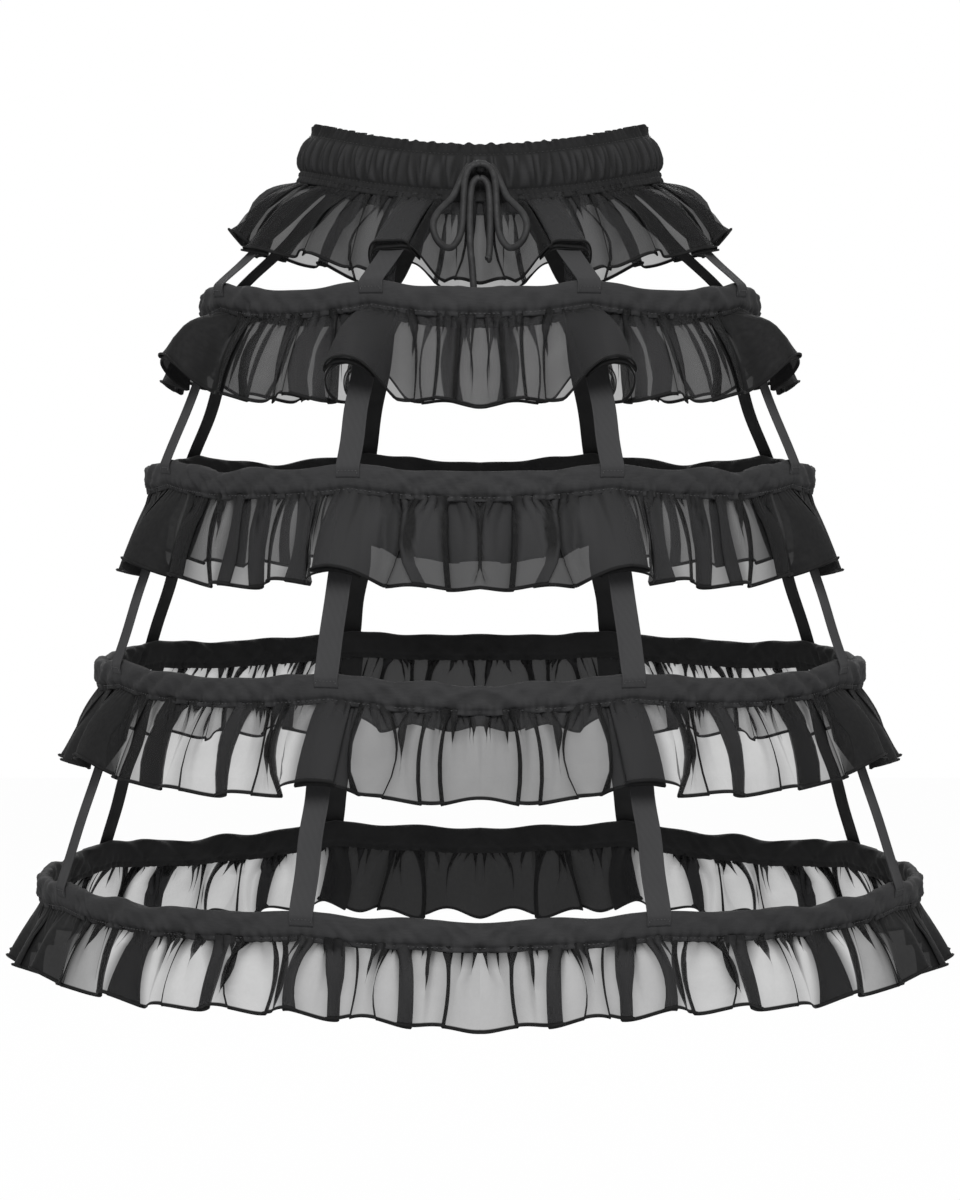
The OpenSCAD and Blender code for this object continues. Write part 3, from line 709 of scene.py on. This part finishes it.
def makeRuffle(tier):
    cut = ruffleTiers[tier]
    depth, seed = cut["depth"], cut["seed"]
    angles = np.linspace(0.0, np.pi, 4001)
    hemRadius = seamRadius(tier, angles, 0.0) + depth * np.sin(plainSlope(cut, angles))
    outline = np.stack((hemRadius * np.sin(angles), hemRadius * np.cos(angles)), axis=1)
    arcs = np.concatenate(([0.0], np.cumsum(np.linalg.norm(np.diff(outline, axis=0), axis=1))))
    s, plan = foldPlan(cut, arcs, angles)
    columns = int(s[-1] / ruffleCut["pitch"])
    at = np.linspace(0.0, s[-1], columns + 1)
    plan = {name: np.interp(at, s, values) for name, values in plan.items()}
    around, tilt, broad = plan["hem"], plan["tilt"], plan["broad"]
    turned = np.interp(around, arcs, angles)
    ends = plateau(at, (0.0, ruffleCut["endWide"]), (at[-1] - ruffleCut["endWide"], at[-1]))
    waves = ruffleCut["gatherWide"] * np.clip(1.0 + 0.3 * ripple(seed + 1, ruffleWaves["space"])(at), 0.7, 1.5)
    phase = np.cumsum(2 * np.pi * (at[1] - at[0]) / waves)
    size = ruffleCut["gatherSize"] * np.clip(0.8 + 0.45 * ripple(seed + 2, ruffleWaves["size"])(at), 0.25, 1.5) * ends
    size = size * (1.0 - 0.6 * np.sin(turned) ** 4) * (1.0 - 0.75 * broad)
    reach = ruffleCut["gatherDeep"] * np.clip(np.exp(0.55 * ripple(seed + 5, ruffleWaves["reach"])(at)), 0.45, 3.2)
    slant = 0.1 * ripple(seed + 6, ruffleWaves["slant"])(at)
    leans = ruffleCut["warp"] * ripple(seed + 7, ruffleCut["warpWide"])(plan["together"]) * ends
    bows = 1.3 * ruffleCut["warp"] * ripple(seed + 8, ruffleCut["warpWide"] * 0.8)(plan["together"]) * ends
    swell = 1.0 + 0.5 * ripple(seed + 4, ruffleWaves["swell"])(around)
    longer = np.interp(np.degrees(turned), *zip(*cut["lengths"]))
    longer = longer + 0.015 * ripple(seed + 3, ruffleWaves["length"])(around)
    front, bays, sides, backs, centre = cut["cover"]
    thick = np.interp(turned, coverAngles, (front, front, bays, bays, sides, sides, backs, backs, centre, centre))
    # painted shade: darker at the centre back by the tier's inner share and on the sides by the ruffle's side share,
    # where the front light falls off
    shadow = cut["inner"] * eased(turned, *backRise) + ruffleCut["sideShade"] * plateau(turned, sideRise, sideFall)
    belly = ruffleCut["bulge"] + (cut["belly"] - ruffleCut["bulge"]) * np.sin(turned) ** 2
    tied = tapeShare(tier, cut, turned)
    flame = np.exp(0.75 * ripple(seed + 9, ruffleCut["flameWide"])(around))
    flame = ruffleCut["flameDeep"] * np.clip(flame, 0.35, 5.0)
    blaze = np.clip(0.75 + 0.35 * ripple(seed + 10, ruffleWaves["blaze"])(around), 0.2, 1.0)
    blaze = blaze * (1.0 - 0.6 * eased(turned, *backBay) * (thick < 0.8))
    grid = np.arange(-30.0, arcs[-1] + 30.0, 0.5)
    edge = depth - ruffleCut["hemDeep"]
    low = np.linspace(ruffleCut["lowRow"], edge - ruffleCut["lastRow"], 3)
    downs = list(ruffleCut["rows"]) + list(low) + [edge, depth]
    rolls = [math.radians(x) for x in (90, 180, 270)]  # round the rolled hem
    rows = [(d, 0.0) for d in downs] + [(depth, r) for r in rolls]
    half, covers, shades = [], [], []
    for d, roll in rows:
        below = max(d, 0.0)
        t = below / depth
        tucked = 1.0 - eased(below, 0.5 * plan["reach"], 1.4 * plan["reach"])
        firm = (0.5 + 0.5 * eased(below, 0.0, 0.5 * depth)) * (1.0 - 0.5 * np.sin(turned) ** 4)
        lift = ruffleCut["rollSize"] * (1.0 - math.cos(roll))
        u = around + (plan["seam"] - around) * tucked - np.sin(tilt) * lift
        out = plan["hemOut"] + (plan["seamOut"] - plan["hemOut"]) * tucked
        u = u + (leans * (1.0 - t) + bows * 4.0 * t * (1.0 - t)) * (1.0 - tied)
        puff = size * np.exp(-(below / reach) ** 1.5) * (1.0 - 0.6 * tied)
        u = u + puff * np.sin(phase + slant * below)
        back = eased(-np.gradient(u) / np.gradient(at), 0.0, 0.35)
        a = np.interp(u, arcs, angles)
        share = tapeShare(tier, cut, a)
        wave = fluteWave(cut, a)
        crest = wave + (cut["crest"] - wave) * share
        v = out * firm + np.cos(tilt) * lift + ruffleCut["flute"] * crest * t
        v = v + 0.8 * puff * np.cos(phase + slant * below) + belly * swell * 4.0 * t * (1.0 - t)
        slope = ruffleSlope(tier, cut, a)
        down = below * (longer + cut["tab"] * share) + ruffleCut["rollSize"] * math.sin(roll)
        r = seamRadius(tier, a, cage["ruffleSeat"]) + down * np.sin(slope) + v * np.cos(slope)
        z = seamHeight(tier, a, cage["ruffleSeat"]) - down * np.cos(slope) + v * np.sin(slope)
        if d < 0:
            r = r - seamLean(tier) * d
            z = z - d
        half.append(np.stack((r * np.sin(a), -r * np.cos(a), z), axis=1))
        hem = 1.0 if d >= edge else 0.0
        # crowd: the gathers crowded below the seam, denser cloth there that is also painted darker as shade; thin:
        # painted shade in the narrow folds; near: the cover raised round the folds, partly their extra layers and
        # partly painted shade beside them
        crowd = blaze * np.exp(-(below / flame) ** 1.4)
        thin = np.clip(1.3 * crowding(u, back * (1.0 - 0.9 * broad), grid, 1.0), 0.0, 1.0)
        near = 0.7 * crowding(u, back, grid, ruffleCut["halo"]) + 0.75 * crowd
        packed = np.maximum(back, np.clip(near, 0.0, 1.0))
        covers.append(np.maximum(thick + (np.maximum(cut["packed"], thick) - thick) * packed, hem))
        shades.append(np.maximum(shadow + (1.0 - shadow) * np.clip(np.maximum(thin, 0.6 * crowd), 0.0, 1.0), hem))
    half = np.array(half) * mm
    left = half[:, -2::-1] * np.array((-1.0, 1.0, 1.0))
    ring = np.concatenate((half, left), axis=1)  # front, right, back, left, front
    shares = {name: np.concatenate((x, x[:, -2::-1]), axis=1) for name, x in
              (("cover", np.array(covers)), ("shade", np.array(shades)))}
    lengths = np.concatenate((at, 2 * at[-1] - at[-2::-1])) * mm
    drops = np.array(downs + [depth + ruffleCut["rollStep"] * (i + 1) for i in range(len(rolls))]) * mm
    sheet = clothMesh(ring, np.stack(np.meshgrid(lengths, drops), axis=2), shares)
    piece = addPiece("ruffleCloth_%d" % tier, sheet, "chiffon", [cut["node"]])
    flat = (2 * s[-1] * mm, (depth + cage["seamDeep"] + ruffleCut["hemAllowance"]) * mm)
    print("ruffle", tier, "cut", [round(x, 3) for x in flat], "gathered", round(s[-1] / arcs[-1], 2),
          "faces", len(piece.data.polygons))


for tier in range(5):
    makeRuffle(tier)


# casings

casing = {
    "step": 2.4, "lipOut": 2.25, "lipIn": 2.66, "pucker": 0.5, "puckerWide": 7.0, "wrinkle": 0.75, "wrinkleWide": 34.0,
    "creaseWide": 15.0, "edge": 0.54, "edgeWide": 70.0, "loose": (8.0, 40.0), "limits": (-1.2, 1.6), "stitchLine": -9.2,
}


def casingSection():
    half, tall, lip = cage["casingThick"] / 2, cage["casingTall"] / 2, casing["lipOut"]
    straight = tall - half
    outer = [(half * math.cos(t), straight + half * math.sin(t)) for t in np.radians((65, 35, 10))]
    outer += [(half, h) for h in (3.0, 1.0, -1.0, -3.0)]
    outer += [(half * math.cos(t), -straight - half * math.sin(t)) for t in np.radians((10, 38))]
    outer += [(lip + 0.35, -8.0), (lip + 0.1, casing["stitchLine"]), (lip, -10.6), (lip - 0.3, -tall - cage["lip"])]
    inner = [(-x if x > lip + 0.4 else -casing["lipIn"], h) for x, h in reversed(outer)]
    return [(0.0, tall)] + outer + inner


def makeCasing(hoop):
    radius, height = cage["hoopRadius"][hoop], cage["hoopHeight"][hoop]
    section = np.array(casingSection())
    columns = int(2 * math.pi * radius / casing["step"])
    a = np.linspace(0.0, 2 * np.pi, columns, endpoint=False)[None, :]
    o, h = section[:, :1], section[:, 1:]
    arc = fromFront(a) * radius
    low = 1.0 - eased(h, -9.0, 0.0)
    high = eased(h, 0.0, 9.0)
    sideways = np.where(o > 0, 1.0, -1.0) * np.clip(np.abs(o) / 2.0, 0.0, 1.0)
    loose = eased(tapeOff(hoop, a)[0], *casing["loose"])
    pucker = ripple(70 + hoop, casing["puckerWide"])(arc)
    slanted = ripple(80 + hoop, casing["wrinkleWide"])(arc + 1.6 * h)
    slanted = slanted + 0.6 * ripple(90 + hoop, casing["creaseWide"])(arc - 1.1 * h)
    swing = ripple(100 + hoop, casing["edgeWide"])(arc) * loose
    grow = casing["pucker"] * pucker * low * (1.0 - 0.7 * eased(-h, 9.5, 12.0)) + casing["wrinkle"] * slanted * loose
    r = radius + o + sideways * np.clip(grow, *casing["limits"])
    z = height + h + hoopRise(hoop, a) + casing["edge"] * (0.5 + high) * swing + 0.25 * pucker * low
    # painted shade: darker in the pucker valleys along the lower edge and in the slanting wrinkles, and fully dark on
    # the casing's inner faces
    dim = 0.55 * low * eased(-pucker, -0.4, 1.4) + 0.22 * eased(-slanted * loose, 0.4, 1.8)
    inside = np.maximum(eased(-o, -0.5, 2.5), np.clip(dim, 0.0, 0.8))
    points = np.stack((r * np.sin(a), -r * np.cos(a), z), axis=2) * mm
    ring = closedMesh(points, (True, True), shares={"inside": inside})
    piece = addPiece("casing_%d" % hoop, ring, "cotton", ["hoop_casing_%d" % hoop])
    print("casing", hoop, "faces", len(piece.data.polygons))


for hoop in range(1, 5):
    makeCasing(hoop)


# waistband

# the dark share is painted shade over the whole gathered face, and the crown share paints the puffs' tops lighter as
# highlight
band = {
    "columns": 1000, "radius": 118.0, "start": 40.0, "gatherWide": 8.5, "lowerWide": 6.8, "shirrWide": 4.4,
    "frillWide": 5.0, "upperLine": 13.3, "lowerLine": -13.0, "dark": 0.86, "crownHighlight": 0.5,
}
# height, how far out the outer and inner faces stand, and how much of the gathers and frill each row takes
bandRows = (
    (21.3, -1.0, -2.0, 0.0, 2.2), (20.6, -0.6, -2.4, 0.0, 2.1), (18.6, -0.4, -2.6, 0.1, 1.5),
    (16.2, -0.2, -2.5, 0.2, 0.9), (14.2, 0.1, -2.1, 0.25, 0.3), (13.3, 0.2, -1.6, 0.1, 0.1),
    (12.6, 1.3, -1.8, 0.3, 0.0), (11.0, 2.2, -2.6, 0.8, 0.0), (8.5, 3.2, -3.4, 1.3, 0.0),
    (5.0, 4.0, -3.9, 1.6, 0.0), (1.0, 4.5, -4.1, 1.7, 0.0), (-3.0, 4.5, -4.0, 1.7, 0.0),
    (-7.0, 4.0, -3.6, 1.5, 0.0), (-10.0, 3.2, -2.9, 1.1, 0.0), (-12.0, 2.2, -2.2, 0.6, 0.0),
    (-13.0, 1.7, -2.2, 0.2, 0.0), (-14.0, 2.2, -2.5, 0.5, 0.0), (-15.6, 2.3, -2.6, 0.5, 0.0),
    (-17.0, 1.9, -2.6, 0.2, 0.0), (-18.2, 2.3, -2.7, 0.5, 0.0), (-20.0, 2.5, -2.8, 0.6, 0.0),
    (-21.3, 2.2, -2.7, 0.4, 0.0),
)


def puffs(place, wide, seed):
    # rounded puffs of about this width with a sharp valley between, from -1 to 1
    step = 0.25
    fine = np.arange(0.0, 800.0, step)
    widths = wide * np.clip(1.0 + 0.5 * ripple(seed, wide * 1.5)(fine), 0.4, 2.2)
    phase = np.cumsum(np.pi * step / widths)
    tall = np.clip(0.9 + 0.5 * ripple(seed + 1, wide * 1.5)(fine), 0.2, 1.6)
    return np.interp(place, fine, tall * (2.0 * np.abs(np.sin(phase)) ** 0.45 - 1.0))


def makeWaistband():
    rows = np.array(bandRows + bandRows[::-1])
    outer = np.arange(len(rows))[:, None] < len(bandRows)
    turn = np.linspace(0.0, 2 * np.pi, band["columns"], endpoint=False)[None, :]
    h, takes, frills = rows[:, :1], rows[:, 3:4], rows[:, 4:]
    o = np.where(outer, rows[:, 1:2], rows[:, 2:3])
    arc = fromFront(turn) * band["radius"]
    leaning = arc + band["start"] + 0.12 * h * ripple(131, 35.0)(arc)
    upper = eased(h + 5.0 * ripple(136, 14.0)(arc), -8.0, 8.0)
    body = puffs(leaning, band["gatherWide"], 132) * upper + puffs(leaning, band["lowerWide"], 142) * (1.0 - upper)
    strip = 1.0 - eased(h, -14.0, -11.0)
    gathers = body * (1.0 - strip) + puffs(arc + band["start"] + 0.3 * h, band["shirrWide"], 133) * strip
    frill = ripple(134, band["frillWide"])(arc + 0.5 * h)
    o = o + np.where(outer, 1.0, -0.4) * takes * gathers + frills * 0.5 * frill
    tall = h + 0.5 * frills / 2.3 * ripple(135, 9.0)(arc)
    out = o - cage["waistFlare"] * h / cage["waistTall"]
    points = np.stack(((cage["waistHalfWidth"] + out) * np.sin(turn), -(cage["waistHalfDepth"] + out) * np.cos(turn),
                       tall - cage["waistDip"] * np.cos(turn) ** 2), axis=2) * mm
    # painted shade in the gathers' and frill's valleys, along the two stitched grooves and over the inner face; painted
    # highlight on the puffs' tops
    valley = eased(-gathers, -0.4, 0.6) * (0.3 + 0.7 * eased(takes, 0.1, 0.6))
    valley = valley + 0.6 * eased(-frill, 0.0, 1.3) * eased(frills, 0.2, 1.0)
    groove = np.exp(-((h - band["upperLine"]) / 1.2) ** 2) + 0.6 * np.exp(-(h - band["lowerLine"]) ** 2)
    crownHighlight = band["crownHighlight"] * eased(gathers, 0.2, 1.1) * eased(takes, 0.3, 1.0)
    inside = np.where(outer, np.clip(band["dark"] - crownHighlight + 0.5 * valley + 0.4 * groove, 0.0, 1.0), 1.0)
    ring = closedMesh(points, (True, True), shares={"inside": inside})
    piece = addPiece("gatheredBand", ring, "cotton", ["waistband"])
    print("waistband faces", len(piece.data.polygons))


makeWaistband()


# tapes

strap = {
    "steps": 26, "round": 0.38, "selvedge": 0.16, "cup": 0.35, "sway": 0.5,
    "lap": 6.0, "sink": 1.1, "lapTone": 0.22, "lapStart": 2.0, "lapEase": 4.0,
}


def tapeWay(hoop, a):
    r, z = tapeStart(hoop, a)
    ride = cage["tapeRide"]
    slope = float(tapeSlope(hoop, np.array(a)))
    rise = float(hoopRise(hoop, np.array(a)))
    middle = np.array((cage["hoopRadius"][hoop], cage["hoopHeight"][hoop] + cage["boneTall"] / 2 + rise))
    start = np.array((float(r), float(z)))
    shoulder = middle + ride * np.array((math.cos(slope), math.sin(slope)))
    way = [start + np.array((seamLean(hoop - 1), 1.0)) * cage["seamDeep"]]
    way += [start + (shoulder - start) * t for t in np.linspace(0.0, 1.0, strap["steps"])]
    way += [middle + ride * np.array((math.cos(slope * t), math.sin(slope * t))) for t in (0.75, 0.5, 0.25, 0.0)]
    way += [middle + np.array((ride - strap["sink"] * t ** 2, -strap["lap"] * t)) for t in (0.25, 0.5, 0.75, 1.0)]
    return np.array(way)


def tapeSection():
    wide, thick, soft = cage["tapeWide"] / 2, cage["tapeThick"] / 2, strap["round"]
    face = [(-wide, 0.0), (-wide + 0.12, thick * 0.7), (-wide + soft, thick), (-wide + 1.3, thick),
            (-wide + 1.8, thick - strap["selvedge"])]
    face += [(x, thick - strap["selvedge"] * 0.6) for x in (-5.0, -2.5, 0.0)]
    right = [(-x, y) for x, y in reversed(face[:-1])]
    under = [(-x, -y) for x, y in face[1:] + right[:-1]]
    return face + right + under


def waistFacing(a):
    turn = float(waistTurn(np.array(a), -cage["waistTapeSeat"]))
    return math.atan2(math.sin(turn) * (waistEndDeep - cage["waistTapeSeat"]),
                      math.cos(turn) * (waistEndWide - cage["waistTapeSeat"]))


def makeTape(hoop, index):
    a = float(tapePlaces[index])
    way = tapeWay(hoop, a)
    section = tapeSection()
    outwards = np.array((math.sin(a), -math.cos(a), 0.0))
    turned = waistFacing(a) if hoop == 1 else a
    steps = np.gradient(way, axis=0)
    lengths = np.concatenate(([0.0], np.cumsum(np.linalg.norm(np.diff(way, axis=0), axis=1))))
    sway = ripple(200 + 8 * hoop + min(index, 7 - index), 90.0)
    rings = []
    for i, (place, step) in enumerate(zip(way, steps)):
        share = min(max((i - 1) / (strap["steps"] - 1), 0.0), 1.0)
        facing = turned + (a - turned) * share
        rise = outwards * step[0] + np.array((0.0, 0.0, step[1]))
        side = np.array((math.cos(facing), math.sin(facing), 0.0))
        normal = np.cross(rise, side)
        normal /= np.linalg.norm(normal)
        if np.dot(normal, outwards) < 0:
            normal = -normal
        belly = 4.0 * share * (1.0 - share)
        swing = strap["sway"] * belly * sway(lengths[i] + np.array((0.0, 40.0)))
        centre = outwards * place[0] + np.array((0.0, 0.0, place[1])) + normal * swing[0]
        centre = centre + side * swing[1] * (1 if index > 3 else -1)
        cup = strap["cup"] * belly
        rings.append([(centre + side * x + normal * (y - cup * (1.0 - (2 * x / cage["tapeWide"]) ** 2))) * mm
                      for x, y in section])
    bm = closedMesh(rings, (False, True), [[(x * mm, length * mm) for x, y in section] for length in lengths])
    # painted shade on the tape's inward face; the lap is darkened to the casing's tone through the same share
    inner = []
    lapTop = (way[strap["steps"]][1] + strap["lapStart"]) * mm
    bm.normal_update()
    for vert in bm.verts:
        lap = strap["lapTone"] * float(eased(lapTop - vert.co.z, 0.0, strap["lapEase"] * mm))
        inner.append(1.0 if vert.normal.dot(Vector(outwards)) < -0.1 else lap)
    name = "%d_%s" % (hoop, tapeNames[index])
    piece = addPiece("webbing_" + name, bm, "tape", ["tape_" + name])
    layer = piece.data.attributes.new("inside", "FLOAT", "POINT")
    layer.data.foreach_set("value", np.asarray(inner, dtype=np.float32))


for hoop in range(1, 5):
    for index in range(len(tapePlaces)):
        makeTape(hoop, index)
print("tapes hung:", 4 * len(tapePlaces))


# stitching

thread = {
    "pitch": 3.2, "long": 2.3, "wide": 0.55, "high": 0.4, "proud": 0.05, "casingProud": 0.55, "bandCount": 240,
    "lapLong": 2.0, "lapRow": (-6.6, -4.0, -1.4, 1.2, 3.8, 6.4), "lapDown": 1.2, "lapSide": 7.4, "lapSideDown": 2.6,
}


def plainStitch():
    bm = bmesh.new()
    bmesh.ops.create_uvsphere(bm, u_segments=4, v_segments=3, radius=1.0)
    return meshOf("stitch", bm)


def sewStitches(name, stitches, finish):
    # one small stitch copied in once for each (place, along, outwards, length) and laid there
    pattern = plainStitch()
    shape = np.array([v.co for v in pattern.vertices])
    bm = bmesh.new()
    points = []
    for place, along, outwards, long in stitches:
        bm.from_mesh(pattern)
        along = np.array(along) / np.linalg.norm(along)
        outwards = np.array(outwards) / np.linalg.norm(outwards)
        across = np.cross(outwards, along)
        sizes = np.array((long, thread["wide"], thread["high"])) / 2
        points.append((np.array(place) + (shape * sizes) @ np.array((along, across, outwards))) * mm)
    placeAll(bm, np.concatenate(points))
    bpy.data.meshes.remove(pattern)
    addPiece(name, bm, finish)
    print(name, len(stitches), "stitches")


def stitchCasing(hoop):
    radius, height = cage["hoopRadius"][hoop], cage["hoopHeight"][hoop]
    stitches = []

    def sew(a, r, x, z, upright, long):
        around, outwards = (math.cos(a), math.sin(a), 0.0), (math.sin(a), -math.cos(a), 0.0)
        place = (r * math.sin(a) + x * math.cos(a), -r * math.cos(a) + x * math.sin(a),
                 height + z + float(hoopRise(hoop, np.array(a))))
        stitches.append((place, (0.0, 0.0, 1.0) if upright else around, outwards, long))

    count = int(2 * math.pi * radius / thread["pitch"])
    for i in range(count):
        line = radius + casing["lipOut"] + thread["casingProud"]
        sew(2 * math.pi * i / count, line, 0.0, casing["stitchLine"], False, thread["long"])
    spot = radius + cage["tapeRide"] + cage["tapeThick"] / 2 + thread["proud"]
    top = cage["boneTall"] / 2
    for a in tapePlaces:
        for x in thread["lapRow"]:
            sew(a, spot, x, top - thread["lapDown"], False, thread["lapLong"])
        for x in (-thread["lapSide"], thread["lapSide"]):
            sew(a, spot, x, top - thread["lapSideDown"], True, thread["lapLong"])
    sewStitches("stitching_%d" % hoop, stitches, "thread")


for hoop in range(1, 5):
    stitchCasing(hoop)


def stitchBand():
    stitches = []
    for h, o in ((band["upperLine"], 1.25), (band["lowerLine"], 2.0), (-17.0, 2.2)):
        out = o - cage["waistFlare"] * h / cage["waistTall"]
        wide, deep = cage["waistHalfWidth"] + out, cage["waistHalfDepth"] + out
        for i in range(thread["bandCount"]):
            turn = 2 * math.pi * i / thread["bandCount"]
            place = (wide * math.sin(turn), -deep * math.cos(turn), h - cage["waistDip"] * math.cos(turn) ** 2)
            along = (wide * math.cos(turn), deep * math.sin(turn), cage["waistDip"] * math.sin(2 * turn))
            stitches.append((place, along, (math.sin(turn) / wide, -math.cos(turn) / deep, 0.0), thread["long"]))
    sewStitches("bandStitching", stitches, "darkThread")


stitchBand()


# bones and sleeves, bent as their casings hang, and the elastic as it is

def bendCopy(name, finish, hoop):
    bm = bmesh.new()
    bm.from_mesh(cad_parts[name].data)
    bmesh.ops.remove_doubles(bm, verts=bm.verts, dist=1e-6)
    for vert in bm.verts:
        vert.co.z += float(hoopRise(hoop, np.array(math.atan2(vert.co.x, -vert.co.y)))) * mm
    addPiece(name.replace("hoop", "bent"), bm, finish, [name], smooth=False)


for hoop in range(1, 5):
    bendCopy("hoop_bone_%d" % hoop, "bone", hoop)
    bendCopy("hoop_connector_%d" % hoop, "sleeve", hoop)
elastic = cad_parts["waist_elastic"]
elastic.data.materials.clear()
elastic.data.materials.append(finishes["elastic"])
print("bones bent")


# floor and light

studio = {
    "floor": -1.02, "reach": 6.0, "paper": 0.82, "bright": 0.98, "sky": 0.28, "key": 104.0, "back": 60.0,
    "lampWide": 1.6, "lampAway": 2.9, "lampHigh": 1.7, "lampAim": -0.3,
}


def makeFloor():
    bm = bmesh.new()
    bmesh.ops.create_grid(bm, x_segments=1, y_segments=1, size=studio["reach"])
    bmesh.ops.translate(bm, verts=bm.verts, vec=(0.0, 0.0, studio["floor"]))
    mesh = meshOf("floor", bm)
    f = Finish("paleFloor")
    paper = f.node("BsdfDiffuse", Color=grey(studio["paper"]))
    glow = f.node("Emission", Color=white, Strength=1.0)
    mesh.materials.append(f.splitRays(paper, glow, studio["bright"]))
    floor = bpy.data.objects.new("floor", mesh)
    scene.collection.objects.link(floor)


def makeLight():
    f = Finish("studio", "World")
    sky = f.node("Background", Color=white, Strength=studio["sky"])
    scene.world = f.splitRays(sky, f.node("Background", Color=white, Strength=1.0), 1.0)
    for name, away in (("key", -studio["lampAway"]), ("back", studio["lampAway"])):
        data = bpy.data.lights.new(name, "AREA")
        data.shape = "DISK"
        data.size = studio["lampWide"]
        data.energy = studio[name]
        lamp = bpy.data.objects.new(name, data)
        lamp.location = (0.0, away, studio["lampHigh"])
        aim = Vector((0.0, 0.0, studio["lampAim"])) - lamp.location
        lamp.rotation_euler = aim.to_track_quat("-Z", "Y").to_euler()
        scene.collection.objects.link(lamp)


makeFloor()
makeLight()
print("floor and light set")
